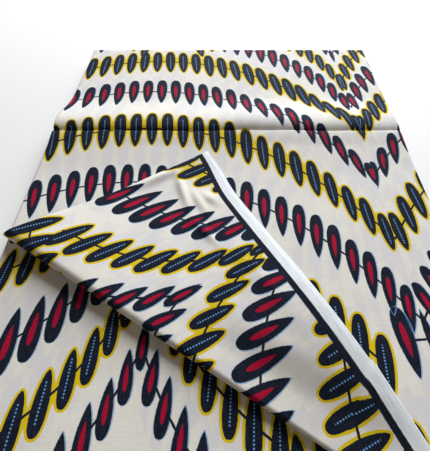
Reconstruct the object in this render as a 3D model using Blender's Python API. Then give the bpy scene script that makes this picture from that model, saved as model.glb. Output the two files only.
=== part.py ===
"""A folded length of ankara, the wax-printed cotton cloth, with one corner turned back.

Six yards are folded selvedge to selvedge and then back and forth every half yard, which makes a
low flat pack of 24 plies. The cloth's cut end is the left edge of the top two plies, and the near
edge shows the selvedges. The near left corner of the top ply is turned back over a loose roll,
so the ply under it shows. Units are metres and +Z is up. The origin is the middle of the pack on
the surface that it lies on.

A fold line runs across the near left corner. Along it, s is measured from the left edge, and t is
how far a point of the cloth lies past it, towards the corner.
"""

import bpy
import numpy as np

# The cloth and how it is folded
YARD = 0.9144
CLOTH_WIDTH = 1.17
FOLD_LENGTH = YARD / 2
PACK_DEPTH = CLOTH_WIDTH / 2
HIDDEN_PAIRS = 11
PAIR_HEIGHT = 0.0120 / HIDDEN_PAIRS
WALL = 0.0010
GAP = 0.0003

# Edges of the pack
LEFT = -FOLD_LENGTH / 2
RIGHT = FOLD_LENGTH / 2
NEAR = -PACK_DEPTH / 2
FAR = PACK_DEPTH / 2
FAR_END_PULL = 0.016
PULL_START = 0.25
EDGE_CURL = 0.0026

# Heights of the plies' middles
STACK_TOP = HIDDEN_PAIRS * PAIR_HEIGHT
SECOND_PLY_Z = STACK_TOP + GAP + WALL / 2
TOP_PLY_Z = SECOND_PLY_Z + GAP + WALL

# The old fold mark across the top ply: a dip between two raised lips
CREASE_FROM_SELVEDGE = 0.397
CREASE_Y = NEAR + CREASE_FROM_SELVEDGE
# side, lip height, lip distance from the dip, where the lip dies out
CREASE_LIPS = {
    "near": (0.0044, 0.004, 0.042),
    "far": (0.0026, 0.013, 0.050),
}

# The turned-back corner
TURNED_UP_LEFT_EDGE = 0.2504
TURNED_ALONG_SELVEDGE = 0.4165
ROLL_RADIUS = 0.0089
ROLL_TAPER = 0.0165
ROLL_LEAST_RADIUS = 0.0030
DRAPE_LENGTH = 0.070
DRAPE_POWER = 1.5
TIP_WIDTH = 0.003

# How the turned-back stretch stands up: two soft ridges near its tip, and a broad billow beside
# the selvedge
RIDGES = [
    # name, height, distance from the raw end and from the selvedge, length, width, turn in degrees
    ("inner", 0.0020, 0.046, 0.050, 0.026, 0.0075, 8.0),
    ("outer", 0.0015, 0.052, 0.034, 0.022, 0.0065, 4.0),
    ("billow", 0.0180, 0.240, 0.000, 0.120, 0.080, 0.0),
]

# How unevenly the hidden folds lie: the inward offset of one fold, and its groove
FOLD_OFFSET = 0.0030
GROOVE_DEPTH = 0.0010
STACK_CORNER = 0.006
SIDE_STEPS = 14
CORNER_STEPS = 3

GROUND_COLOUR = (0.80, 0.76, 0.69)
EDGE_COLOUR = (0.62, 0.58, 0.52)
COTTON_ROUGHNESS = 0.85


def cotton(name, colour):
    """A plain cotton material."""
    material = bpy.data.materials.new(name)
    material.use_nodes = True
    shader = material.node_tree.nodes["Principled BSDF"]
    shader.inputs["Base Color"].default_value = (*colour, 1.0)
    shader.inputs["Roughness"].default_value = COTTON_ROUGHNESS
    shader.inputs["Metallic"].default_value = 0.0
    material.diffuse_color = (*colour, 1.0)
    return material


def add_mesh(name, points, faces, colour):
    """One object from points and faces, shaded smooth, with its own material."""
    mesh = bpy.data.meshes.new(name)
    mesh.from_pydata(points.tolist(), [], faces)
    mesh.validate()
    mesh.shade_smooth()
    mesh.materials.append(cotton(f"{name} cotton", colour))
    piece = bpy.data.objects.new(name, mesh)
    bpy.context.scene.collection.objects.link(piece)
    return piece


def add_wall(name, grid, colour):
    """A cloth wall whose middle is the grid of points, rows by columns."""
    rows, columns = grid.shape[:2]
    index = np.arange(rows * columns).reshape(rows, columns)
    faces = np.stack(
        [index[:-1, :-1], index[:-1, 1:], index[1:, 1:], index[1:, :-1]], axis=-1
    )
    piece = add_mesh(name, grid.reshape(-1, 3), faces.reshape(-1, 4).tolist(), colour)
    thick = piece.modifiers.new("Cloth thickness", "SOLIDIFY")
    thick.thickness = WALL
    thick.offset = 0.0
    thick.use_even_offset = True
    return piece


def smooth_step(value):
    """0 to 1 with level ends."""
    value = np.clip(value, 0.0, 1.0)
    return value * value * (3.0 - 2.0 * value)


def left_edge(y):
    """X of the pack's left side, which leans in towards the far end."""
    start = NEAR + PULL_START
    return LEFT + FAR_END_PULL * smooth_step((y - start) / (FAR - start))


def crease_height(y):
    """How far the top ply stands up on each side of its fold mark."""
    across = y - CREASE_Y
    height = np.zeros_like(across)
    for side, (lip, peak, end) in CREASE_LIPS.items():
        away = -across if side == "near" else across
        rising = smooth_step(away / peak)
        falling = 1.0 - smooth_step((away - peak) / (end - peak))
        height += np.where(away > 0.0, lip * rising * falling, 0.0)
    return height


def curled(x, y, z, over_x, over_y, radius):
    """Carries points past the right and far edges a quarter turn down, at one radius."""
    over = np.maximum(over_x, over_y)
    length = np.maximum(np.hypot(over_x, over_y), 1e-9)
    out = radius * np.sin(over / radius)
    return np.stack(
        [
            x + out * over_x / length,
            y + out * over_y / length,
            z - radius * (1.0 - np.cos(over / radius)),
        ],
        axis=-1,
    )


def edge_stations(flat, radius, turns=4):
    """Places along one side: those on the flat, then the arc's, as (place, run past the edge)."""
    flat = np.asarray(flat, float)
    arc = np.linspace(0.0, radius * np.pi / 2, turns + 1)[1:]
    place = np.concatenate([flat, np.full(turns, flat[-1])])
    over = np.concatenate([np.zeros(len(flat)), arc])
    return place, over


def make_hidden_layers():
    """Eleven folded pairs of plies as one solid, layered at the edges.

    Each level of the solid is a rounded rectangle. Its sides step in to a groove wherever two
    folds meet: at every second pair on the left and right, where one fold holds two pairs, and
    at every pair on the near and far sides.
    """
    # the top plies' folded edges hang over the stack on the right and far sides
    inset = 2 * (WALL + GAP)
    corner_turn = np.linspace(0.0, 1.0, CORNER_STEPS + 2)[1:-1] * np.pi / 2
    run = np.linspace(0.0, 1.0, SIDE_STEPS + 1)
    # side, its outward direction, and which pairs start a new fold there
    sides = [
        ("right", (1.0, 0.0), 0),
        ("far", (0.0, 1.0), None),
        ("left", (-1.0, 0.0), 1),
        ("near", (0.0, -1.0), None),
    ]
    half_x = (FOLD_LENGTH - GAP - inset) / 2 - STACK_CORNER
    half_y = (PACK_DEPTH - GAP - inset) / 2 - STACK_CORNER
    centre, outward, groove_at, place = [], [], [], []
    for number, (_, (ox, oy), first) in enumerate(sides):
        ahead = np.array([-oy, ox])
        out = np.array([ox, oy])
        half_out = half_x if oy == 0.0 else half_y
        half_along = half_y if oy == 0.0 else half_x
        for u in run:
            centre.append(out * half_out + ahead * half_along * (2.0 * u - 1.0))
            outward.append(out)
            groove_at.append(first)
            place.append(number + u)
        for turn in corner_turn:
            centre.append(out * half_out + ahead * half_along)
            outward.append(out * np.cos(turn) + ahead * np.sin(turn))
            groove_at.append(None)
            place.append(number + 1.0)
    centre = np.array(centre) + (GAP - inset) / 2
    outward = np.array(outward)
    place = np.array(place)
    levels = []
    for level in range(2 * HIDDEN_PAIRS + 1):
        pair, middle = divmod(level, 2)
        groove = np.empty(len(centre))
        for i, first in enumerate(groove_at):
            if middle:
                groove[i] = 0.3 if first is not None else 0.0
            elif first is None:
                groove[i] = 1.0
            else:
                groove[i] = 1.0 if pair % 2 == first or pair == HIDDEN_PAIRS else 0.0
        fold = (level + 1) // 4
        uneven = 0.5 + 0.5 * np.sin(2.1 * fold + 2.3 * place + np.sin(1.7 * fold) * 2.0)
        reach = STACK_CORNER - GROOVE_DEPTH * groove - FOLD_OFFSET * uneven
        flat = centre + outward * reach[:, None]
        pull = left_edge(flat[:, 1]) - LEFT
        flat[:, 0] += pull * (0.5 - flat[:, 0] / FOLD_LENGTH)
        height = np.full((len(flat), 1), level * PAIR_HEIGHT / 2)
        levels.append(np.hstack([flat, height]))
    around = len(centre)
    points = np.concatenate(levels)
    faces = []
    for level in range(len(levels) - 1):
        low = level * around
        for i in range(around):
            j = (i + 1) % around
            faces.append((low + i, low + j, low + around + j, low + around + i))
    last = (len(levels) - 1) * around
    faces.append(tuple(reversed(range(around))))
    faces.append(tuple(range(last, last + around)))
    return add_mesh("hidden_layers", points, faces, EDGE_COLOUR)


def make_second_ply():
    """The whole ply under the top one, which shows where the corner is turned back."""
    radius = EDGE_CURL - WALL - GAP
    reach = EDGE_CURL + WALL / 2
    along, over_x = edge_stations(np.linspace(0.0, 1.0, 8), radius)
    up, over_y = edge_stations(np.linspace(NEAR, FAR - reach, 12), radius)
    y = np.repeat(up[:, None], len(along), axis=1)
    start = left_edge(y)
    x = start + (RIGHT - reach - start) * along[None, :]
    over_x = np.broadcast_to(over_x[None, :], x.shape)
    over_y = np.broadcast_to(over_y[:, None], x.shape)
    z = np.full_like(x, SECOND_PLY_Z)
    return add_wall("second_ply", curled(x, y, z, over_x, over_y, radius), GROUND_COLOUR)


def fold_line():
    """The fold line's left end, its direction, and the direction away from the corner."""
    start = np.array([LEFT, NEAR + TURNED_UP_LEFT_EDGE])
    end = np.array([LEFT + TURNED_ALONG_SELVEDGE, NEAR])
    along = (end - start) / np.linalg.norm(end - start)
    return start, along, np.array([-along[1], along[0]])


def make_top_ply():
    """The top ply up to the fold line, with its fold mark and its rounded far and right edges."""
    start, along, away = fold_line()
    reach = EDGE_CURL + WALL / 2
    flat_right = RIGHT - reach
    line_end = LEFT + TURNED_ALONG_SELVEDGE
    columns = np.concatenate(
        [
            np.linspace(LEFT, line_end, 13),
            np.linspace(line_end, flat_right, 4)[1:],
        ]
    )
    x_flat, over_x = edge_stations(columns, EDGE_CURL)
    # the edge by the roll stands half a gap back from the fold line
    line_y = start[1] + (x_flat - start[0]) * along[1] / along[0]
    line_y = np.maximum(line_y + GAP / 2 / away[1], NEAR)
    near_lip = CREASE_LIPS["near"]
    far_lip = CREASE_LIPS["far"]
    lower_end = CREASE_Y - near_lip[2]
    mark = np.concatenate(
        [
            lower_end + (near_lip[2] - near_lip[1]) * np.array([0.0, 0.3, 0.55, 0.8, 1.0]),
            CREASE_Y - near_lip[1] * np.array([0.66, 0.33, 0.0]),
            CREASE_Y + far_lip[1] * np.array([0.3, 0.6, 1.0]),
            CREASE_Y + far_lip[1] + (far_lip[2] - far_lip[1]) * np.array([0.33, 0.66, 1.0]),
        ]
    )
    beyond = np.linspace(mark[-1], FAR - reach, 5)[1:]
    upper, over_y = edge_stations(np.concatenate([mark, beyond]), EDGE_CURL)
    share = np.linspace(0.0, 1.0, 6)[:-1, None]
    lower = line_y[None, :] + (lower_end - line_y[None, :]) * share
    y = np.concatenate([lower, np.repeat(upper[:, None], len(x_flat), axis=1)])
    over_y = np.concatenate([np.zeros(len(lower)), over_y])
    lean = left_edge(y) - LEFT
    x = x_flat[None, :] + lean * (flat_right - x_flat[None, :]) / (flat_right - LEFT)
    z = TOP_PLY_Z + crease_height(y)
    over_x = np.broadcast_to(over_x[None, :], x.shape)
    over_y = np.broadcast_to(over_y[:, None], x.shape)
    return add_wall("top_ply", curled(x, y, z, over_x, over_y, EDGE_CURL), GROUND_COLOUR)


def ridge_height(from_end, from_selvedge):
    """Height of the soft ridges at these distances from the raw end and from the selvedge."""
    height = np.zeros_like(from_end)
    for _, tall, along, across, length, width, turn in RIDGES:
        a = from_end - along
        b = from_selvedge - across
        c = np.cos(np.radians(turn))
        s = np.sin(np.radians(turn))
        height += tall * np.exp(-(((a * c + b * s) / length) ** 2) - ((b * c - a * s) / width) ** 2)
    return height


def turned_back(s, t):
    """Where the cloth goes at s along the fold line and t past it.

    It turns half a circle whose radius shrinks along the fold line, then runs back over the
    top ply and sinks onto it. The shrinking roll also turns that stretch a little.
    """
    start, along, away = fold_line()
    radius = np.maximum(ROLL_RADIUS - ROLL_TAPER * s, ROLL_LEAST_RADIUS)
    past = np.maximum(t - np.pi * radius, 0.0)
    angle = np.minimum(t / radius, np.pi)
    rest = WALL + GAP
    sunk = np.exp(-((past / DRAPE_LENGTH) ** DRAPE_POWER))
    lift = np.where(past > 0.0, rest + (2.0 * radius - rest) * sunk, radius * (1.0 - np.cos(angle)))
    swing = np.where(radius > ROLL_LEAST_RADIUS, np.pi * ROLL_TAPER, 0.0)
    move_along = s - swing * past
    move_away = past - radius * np.sin(angle)
    flat = start + along * move_along[..., None] + away * move_away[..., None]
    return flat, lift, sunk


def make_turned_corner():
    """The corner from the fold line to its tip, in rows that run beside the fold line."""
    start, along, away = fold_line()
    corner = np.array([LEFT, NEAR])
    height = -(corner - start) @ away
    foot = (corner - start) @ along
    whole = np.hypot(TURNED_UP_LEFT_EDGE, TURNED_ALONG_SELVEDGE)
    arc_end = np.pi * ROLL_RADIUS
    last = height * (1.0 - TIP_WIDTH / whole)
    t = np.concatenate(
        [
            [GAP / 2],
            np.linspace(0.0, arc_end, 13)[1:],
            arc_end + (last - arc_end) * np.linspace(0.0, 1.0, 20)[1:],
        ]
    )
    across = np.linspace(0.0, 1.0, 27)
    share = t[:, None] / height
    s = foot * share + whole * (1.0 - share) * across[None, :]
    t = np.broadcast_to(t[:, None], s.shape)
    flat, lift, sunk = turned_back(s, t)
    place = start + along * s[..., None] - away * t[..., None]
    ridges = ridge_height(place[..., 0] - LEFT, place[..., 1] - NEAR) * (1.0 - sunk)
    grid = np.concatenate([flat, (TOP_PLY_Z + lift + ridges)[..., None]], axis=-1)
    return add_wall("turned_corner", grid, GROUND_COLOUR)


def main():
    for old in list(bpy.data.objects):
        bpy.data.objects.remove(old, do_unlink=True)
    make_hidden_layers()
    make_second_ply()
    make_top_ply()
    make_turned_corner()


main()
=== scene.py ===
"""Looks of a folded length of ankara, the wax-printed cotton, with one corner turned back.

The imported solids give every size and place. Each ply that shows is a thin shell on its solid's
form, worked out by numpy from two parameters of the flat cloth: u runs along its length and v
from one selvedge across to the other, both in metres. The print is drawn by nodes from the same
u and v, so it turns over the rolled corner with the cloth.
"""

import math

import bmesh
import bpy
import numpy as np
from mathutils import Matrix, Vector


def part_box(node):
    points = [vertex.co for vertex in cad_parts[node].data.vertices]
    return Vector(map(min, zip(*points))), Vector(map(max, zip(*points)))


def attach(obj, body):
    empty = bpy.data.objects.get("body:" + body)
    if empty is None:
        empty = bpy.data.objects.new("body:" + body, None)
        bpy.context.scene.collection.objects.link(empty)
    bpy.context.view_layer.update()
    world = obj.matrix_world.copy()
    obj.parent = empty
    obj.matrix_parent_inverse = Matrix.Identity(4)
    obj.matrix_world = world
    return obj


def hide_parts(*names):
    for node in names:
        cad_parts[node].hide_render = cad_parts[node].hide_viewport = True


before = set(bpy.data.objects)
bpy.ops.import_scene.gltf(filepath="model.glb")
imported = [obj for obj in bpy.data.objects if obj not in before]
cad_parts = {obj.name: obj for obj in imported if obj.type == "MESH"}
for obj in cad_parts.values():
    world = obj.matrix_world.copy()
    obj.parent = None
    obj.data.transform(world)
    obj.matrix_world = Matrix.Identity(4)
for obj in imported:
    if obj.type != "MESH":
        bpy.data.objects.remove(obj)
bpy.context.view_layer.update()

bl_info = {
    "name": "Folded ankara cloth",
    "version": (1, 0, 0),
    "blender": (4, 5, 0),
    "location": "3D View > Sidebar > Ankara",
    "description": "A folded length of wax-printed cotton with one corner turned back",
    "category": "Object",
}

# Outline of the pack and heights of its plies, from the solids
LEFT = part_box("second_ply")[0].x
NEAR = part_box("second_ply")[0].y
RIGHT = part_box("top_ply")[1].x
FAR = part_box("top_ply")[1].y
STACK_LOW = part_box("hidden_layers")[0].z
STACK_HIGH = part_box("hidden_layers")[1].z
SEAM_GAP = 0.0003
SOLID_WALL = 0.0010
SECOND_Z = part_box("second_ply")[1].z - SOLID_WALL / 2
TOP_Z = SECOND_Z + SEAM_GAP + SOLID_WALL
PACK_WIDTH = RIGHT - LEFT
PACK_DEPTH = FAR - NEAR

# How the cloth is folded: the solids' sizes, but its fold mark lies 5 mm nearer to the selvedge
CLOTH_WIDTH = 2 * PACK_DEPTH
HIDDEN_PAIRS = 11
FAR_END_PULL = 0.016
PULL_START = 0.25
EDGE_CURL = 0.0026
CREASE_FROM_SELVEDGE = 0.3920
CREASE_Y = NEAR + CREASE_FROM_SELVEDGE
TURNED_UP_LEFT_EDGE = 0.2504
TURNED_ALONG_SELVEDGE = 0.4165
ROLL_RADIUS = 0.0089
ROLL_TAPER = 0.0165
ROLL_LEAST_RADIUS = 0.0030
DRAPE_LENGTH = 0.070
DRAPE_POWER = 1.5

# How far along the second ply's print lies, and the spacing of the points of each ply
SECOND_SHIFT = 0.010
GRID_STEP = 0.0018

# The repeat of the print. Strings of drops hang in low arches that meet in points, and a second
# set of arches lies between them, as fish scales are laid.
ARCH_HALF = 0.275
BAND_RISE = 0.465
FIRST_ARCHES_X = -0.1015
SECOND_ARCHES_X = 0.190
ARCH_SAG = 1.6
ARCH_SAG_4 = 6.0
POINT_WIDTH = 0.020
CROWDING = 0.111
MORE_DROPS_PER_DIP = 22.0
DROPS_LEAN = -0.06
SHRINK_TO_POINT = 0.20

# Where strings end: the level in the next band where its arches cover them, which is higher in
# the middle of an arch, how far arches overlap at a point, and how far out the first string goes
BAND_LOW = 0.1825
BAND_END = 0.665
MIDDLE_HALF = 0.04
MIDDLE_END = 0.075
POINT_OVERLAP = 0.003
LOOSE_END = 0.235
STRING_TOLERANCE = 0.25

# Chance in a drop's lean, in its height in metres and in its size
CHANCE_SEED = 0.37
CHANCE_LEAN = 0.04
CHANCE_DRIFT = 0.002
CHANCE_SIZE = 0.06

# The powers that shape a drop's outlines: tip at the thin end, and top at the blunt one
GOLD_TIP = 0.60
RED_TIP = 0.75
GOLD_EDGE_TIP = 0.54
GHOST_TIP = 0.7
DROP_TOP = 0.40
CORE_TIP = 0.8
CORE_TOP = 0.5

# An outline is widest where t is tip / (tip + top), and these make its half width there half of
# the drop's width. The gold edge is thicker at the ends, and webs together between neighbours.
GOLD_FULLNESS = 1.96
RED_FULLNESS = 2.10
GOLD_EDGE_ENDS = 2.2
GOLD_WEB = 0.0050

# The red core's place over the drop's middle, and its size as shares of the drop's
CORE_UP = 0.0010
CORE_LENGTH = 0.50
CORE_WIDTH = 0.37

# The dotted line down a gold drop's middle, as long each way as this share of the drop
DOT_PITCH = 0.0025
DOT_RADIUS = 0.00070
DOTTED_HALF = 0.33

# The blue rim of a red drop, and how it thins on one side
RIM_WIDTH = 0.0009
RIM_SLOPE = 0.15
RIM_LOSS = 0.0002
RIM_MOST_LOSS = 0.0008
RIM_STRENGTH = 0.85

# What the print gives, the half widths of the soft edges, and how far hot wax lets one wander
INKS = ("Navy", "Gold", "Red", "Blue", "Ghost", "Ghost edge")
GHOST_EDGE_HALF = 0.0008
INK_SOFTNESS = 0.00022
RIM_SOFTNESS = 0.0004
GHOST_SOFTNESS = 0.0030
BORDER_SOFTNESS = 0.0004
SELVEDGE_SOFTNESS = 0.0003
INK_WANDER = 0.0006

# Noises: each one's features to the metre along the cloth and across it, and its detail. Threads
# lie 0.35 mm apart in the real cloth, and are drawn 0.9 mm apart so that they show.
NOISES = [
    ("wander", 450.0, 450.0, 2.0),
    ("warp", 70.0, 1100.0, 2.0),
    ("weft", 1100.0, 70.0, 2.0),
    ("cloud", 14.0, 14.0, 3.0),
]
WEAVE_DEPTH = 0.0002

# How strongly threads and clouds tell: the contrast of each, and what it is lowered by
THREAD_TONE = (0.44, -0.36)
THREAD_WEAR = (0.30, -0.24)
THREAD_LINES = (2.0, -0.85)
CLOUD_TONE = 0.05
CLOUD_PATCHES = (2.2, -0.75)

# How dark the ground gets between threads, how far the ply below shows through, and the colours
# of the bare selvedge, of the edges that show through, and of the navy where it is worn
GROUND_SHADE = 0.62
GHOST_MOST = 0.31
GHOST_EDGE_MOST = 0.18
OTHER_COLOURS = {
    "bleached": "#EFF4F6",
    "bleached shade": "#C6D0D4",
    "faded gold": "#F2E9C4",
    "worn navy": "#4A5468",
}

# The columns of a band's strings, each with the scale and zero that keep its curve from 0 to 1:
# height over the selvedge, dip at the point, the shift of its drops along it and towards the
# point, both in drops, how much they turn per metre along, their size, and how much wider they
# are spaced at the point. From a band's first string, even ones hold gold drops and odd ones red.
STRING_COLUMNS = [
    ("LEVEL", 1.0, 0.0),
    ("DIP", 1.0, 0.0),
    ("SHIFT", 0.5, 0.5),
    ("SIDES", 0.5, 0.5),
    ("TURN", 0.5, 0.5),
    ("SIZE", 0.5, 0.0),
    ("WIDER", 0.5, 0.5),
]
STRING_BEFORE = (0.1400, 0.000, 0.00, 0.00, 0.00, 1.00, 0.000)
STRING_AFTER = (0.8200, 0.022, 0.00, 0.00, 0.00, 1.00, 0.000)
LOWER_STRINGS = [
    (0.2250, 0.000, 0.00, 0.00, 0.75, 1.00, 0.000),
    (0.3125, 0.000, 0.24, 0.00, 0.75, 1.00, -0.055),
    (0.3942, 0.000, 0.30, 0.00, 0.08, 1.00, 0.045),
    (0.4755, 0.000, 0.50, 0.00, -0.60, 1.00, 0.080),
]
FIRST_STRINGS = [
    *LOWER_STRINGS,
    (0.5500, 0.000, -0.20, 0.00, -0.60, 1.00, 0.000),
    (0.6180, 0.025, 0.00, 0.00, 0.18, 1.00, 0.000),
    (0.6840, 0.036, 0.00, -0.35, 0.18, 0.92, 0.000),
    (0.7450, 0.022, 0.00, -0.30, 0.18, 0.86, 0.000),
]
SECOND_STRINGS = [
    *LOWER_STRINGS,
    (0.5290, 0.000, 0.00, 0.50, 0.00, 0.90, 0.000),
    (0.6080, 0.025, 0.00, -0.18, 0.18, 1.08, 0.000),
    (0.6840, 0.052, 0.00, 0.20, 0.18, 0.90, 0.000),
    (0.7450, 0.022, 0.00, -0.466, 0.18, 0.92, 0.000),
]
STRINGS_IN_BAND = 8
STRING_STEP = 1.0 / (STRINGS_IN_BAND + 1)


def named(kind, label, note, default, **limits):
    """One bpy.props property with its name, description and default."""
    return kind(name=label, description=note, default=default, **limits)


def length(label, note, default):
    """A length in metres, shown in the scene's unit."""
    limits = {"min": 0.0, "subtype": "DISTANCE", "unit": "LENGTH"}
    return named(bpy.props.FloatProperty, label, note, default, **limits)


def strength(label, note, default):
    """The power or strength of a light."""
    return named(bpy.props.FloatProperty, label, note, default, min=0.0)


def colour(label, note, code):
    """A colour that starts from an sRGB hex value."""
    limits = {"min": 0.0, "max": 1.0, "size": 3, "subtype": "COLOR"}
    return named(bpy.props.FloatVectorProperty, label, note, linear(code), **limits)


def linear(code):
    """An sRGB hex value such as #1B2233 as linear red, green and blue."""
    parts = np.array([int(code[i : i + 2], 16) for i in (1, 3, 5)]) / 255.0
    return tuple(np.where(parts > 0.04045, ((parts + 0.055) / 1.055) ** 2.4, parts / 12.92))


class ClothSettings(bpy.types.PropertyGroup):
    """Sizes of the cloth and of how it lies."""

    thickness: length("Cloth thickness", "Thickness of one ply of the printed cotton", 0.0005)
    rise: length("Rise", "How far the ply stands up on both sides of its fold mark", 0.0040)
    near_lip: length("Near lip", "Height of the sharp lip on the near side of the groove", 0.0016)
    far_lip: length("Far lip", "Height of the soft lip on the far side of the groove", 0.0056)
    wave: length("Waves", "Height of the long soft waves in the flat plies", 0.0009)
    wrinkle: length("Wrinkles", "Height of the wrinkles by the turned corner's tip", 0.0037)


class PrintSettings(bpy.types.PropertyGroup):
    """Sizes and colours of the print."""

    drop_pitch: length("Drop spacing", "Distance between drops at the top of an arch", 0.0203)
    gold_length: length("Gold drop", "Length of the navy drop that has a gold edge", 0.0540)
    red_length: length("Red drop", "Length of the navy drop that has a red middle", 0.0530)
    drop_width: length("Drop width", "Width of a drop at its widest", 0.0153)
    gold_edge: length("Gold edge", "Width of the gold line round a drop", 0.0018)
    string_width: length("String", "Thickness of the line that joins the drops", 0.0021)
    selvedge: length("Selvedge", "Width of the bare selvedge", 0.0116)
    border: length("Border", "Width of the navy line inside the selvedge", 0.0058)
    ground: colour("Ground", "Bleached cotton with its wax-resist cream", "#E9E5DA")
    navy: colour("Navy", "Indigo print, nearly black where it is thick", "#101725")
    gold: colour("Gold", "Yellow overprint", "#DDC01A")
    crimson: colour("Crimson", "Red overprint inside the drops", "#A50F33")
    pale_blue: colour("Pale blue", "Dotted line and the thin rim of the red drops", "#6E9FD2")
    lavender: colour("Lavender", "Print of the ply below, showing faintly through", "#C3C3D6")


class LightSettings(bpy.types.PropertyGroup):
    """The studio light."""

    window: strength("Window", "Power of the far light in watts", 118.0)
    fill: strength("Fill", "Power of the near light in watts", 1.2)
    room: strength("Room", "Strength of the light from all round", 0.12)


def smooth_step(value):
    """0 to 1 with level ends: 3t^2 - 2t^3."""
    value = np.clip(value, 0.0, 1.0)
    return value * value * (3.0 - 2.0 * value)


def left_edge(y):
    """X of the pack's left side, which leans in towards the far end by a smooth step."""
    start = NEAR + PULL_START
    return LEFT + FAR_END_PULL * smooth_step((y - start) / (FAR - start))


def soft_ridges(table, x, y):
    """Sum of long narrow bell curves. Each row gives a ridge's middle, size, turn and height."""
    height = np.zeros_like(x)
    for _, across, along, long, wide, turn, tall in table:
        c = math.cos(math.radians(turn))
        s = math.sin(math.radians(turn))
        a = (x - across) * c + (y - along) * s
        b = (y - along) * c - (x - across) * s
        height += tall * np.exp(-((a / long) ** 2) - (b / wide) ** 2)
    return height


# Soft waves in the flat plies
FLAT_WAVES = [
    # place, x, y, length, width, turn in degrees, share of the wave's height
    ("left of the middle", -0.120, 0.200, 0.090, 0.030, 12.0, 1.0),
    ("far right", 0.150, 0.215, 0.110, 0.035, -8.0, 0.8),
    ("by the right edge", 0.190, 0.020, 0.080, 0.025, 80.0, 1.0),
    ("before the fold mark", 0.060, 0.045, 0.120, 0.026, 3.0, 0.7),
    ("near right", 0.170, -0.170, 0.070, 0.030, 65.0, 0.9),
    ("near left", -0.140, -0.215, 0.100, 0.034, -14.0, 0.8),
    ("near middle", 0.010, -0.250, 0.090, 0.024, 6.0, 0.6),
]

# The turned corner stands up beside its selvedge, as on the solid: middle from the raw end and from
# the selvedge, length, width, turn in degrees and height
BILLOW = ("beside the selvedge", 0.240, 0.000, 0.120, 0.080, 0.0, 0.0180)

# Wrinkles of the turned corner, measured on the flat cloth
CORNER_WRINKLES = [
    # place, from the raw end, from the selvedge, length, width, turn in degrees, share of height
    ("beside the raw end", 0.006, 0.068, 0.0060, 0.024, 0.0, 0.9),
    ("first, longest", 0.036, 0.0512, 0.024, 0.0044, 7.0, 0.95),
    ("second", 0.059, 0.0410, 0.016, 0.0046, -3.0, 0.60),
    ("third, towards the selvedge", 0.062, 0.0285, 0.012, 0.0052, -25.0, 0.60),
    ("lower", 0.097, 0.0535, 0.017, 0.0045, -11.0, 0.75),
    ("towards the roll", 0.130, 0.1050, 0.060, 0.0140, 12.0, 0.6),
    ("beside the selvedge", 0.170, 0.0330, 0.050, 0.0090, -6.0, 0.4),
]


# The fold mark wanders and its lips are uneven along it: height of each sine, length and phase
CREASE_WANDER = [(-0.0006, 0.0310, 0.0), (-0.0004, 0.0123, 1.0)]
UNEVEN_LIPS = [(0.16, 0.047, 0.6), (0.10, 0.019, 0.0)]
NEAR_LIP_RISE = 0.0020
NEAR_LIP_FALL = 0.025
FAR_LIP_RISE = 0.0063
FAR_LIP_TOP = 0.0120
FAR_LIP_FALL = 0.060
NEAR_SLOPE = 0.070
FAR_SLOPE = 0.080


def sines(table, x):
    """Sum of tall * sin(x / length + phase)."""
    return sum(tall * np.sin(x / long + phase) for tall, long, phase in table)


def crease_height(x, y, cloth):
    """Height by the fold mark: a broad rise with a groove along it and a lip on each side.

    The near lip is sharp and falls away over 25 mm. The far one rises as 1 - exp(-away / 6.3 mm).
    """
    away = y + sines(CREASE_WANDER, x) - CREASE_Y
    uneven = 1.0 + sines(UNEVEN_LIPS, x)
    near = smooth_step(-away / NEAR_LIP_RISE)
    near = near * (1.0 - smooth_step((-away - NEAR_LIP_RISE) / NEAR_LIP_FALL))
    far = 1.0 - np.exp(-np.maximum(away, 0.0) / FAR_LIP_RISE)
    far = far * (1.0 - smooth_step((away - FAR_LIP_TOP) / FAR_LIP_FALL))
    rise = smooth_step(1.0 + away / NEAR_SLOPE) * (1.0 - smooth_step(away / FAR_SLOPE))
    return cloth.rise * rise + uneven * (cloth.near_lip * near + cloth.far_lip * far)


def curled(x, y, z, over_x, over_y, radius):
    """Points past the right and far edges go round a quarter circle of this radius, downwards."""
    over = np.maximum(over_x, over_y)
    size = np.maximum(np.hypot(over_x, over_y), 1e-9)
    out = radius * np.sin(over / radius)
    down = radius * (1.0 - np.cos(over / radius))
    return np.stack([x + out * over_x / size, y + out * over_y / size, z - down], axis=-1)


def with_curl(flat, radius, turns=6):
    """Stations on the flat, then round the curl: where each leaves the flat, and its run past."""
    arc = np.linspace(0.0, radius * np.pi / 2, turns + 1)[1:]
    place = np.concatenate([flat, np.full(turns, flat[-1])])
    return place, np.concatenate([np.zeros(len(flat)), arc])


def stations(low, high, step=GRID_STEP):
    """Even stations from low to high, no further apart than step."""
    return np.linspace(low, high, int(math.ceil((high - low) / step)) + 1)


def fold_line():
    """The fold line's left end, its direction, and the direction away from the corner."""
    start = np.array([LEFT, NEAR + TURNED_UP_LEFT_EDGE])
    end = np.array([LEFT + TURNED_ALONG_SELVEDGE, NEAR])
    along = (end - start) / np.linalg.norm(end - start)
    return start, along, np.array([-along[1], along[0]])


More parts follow.
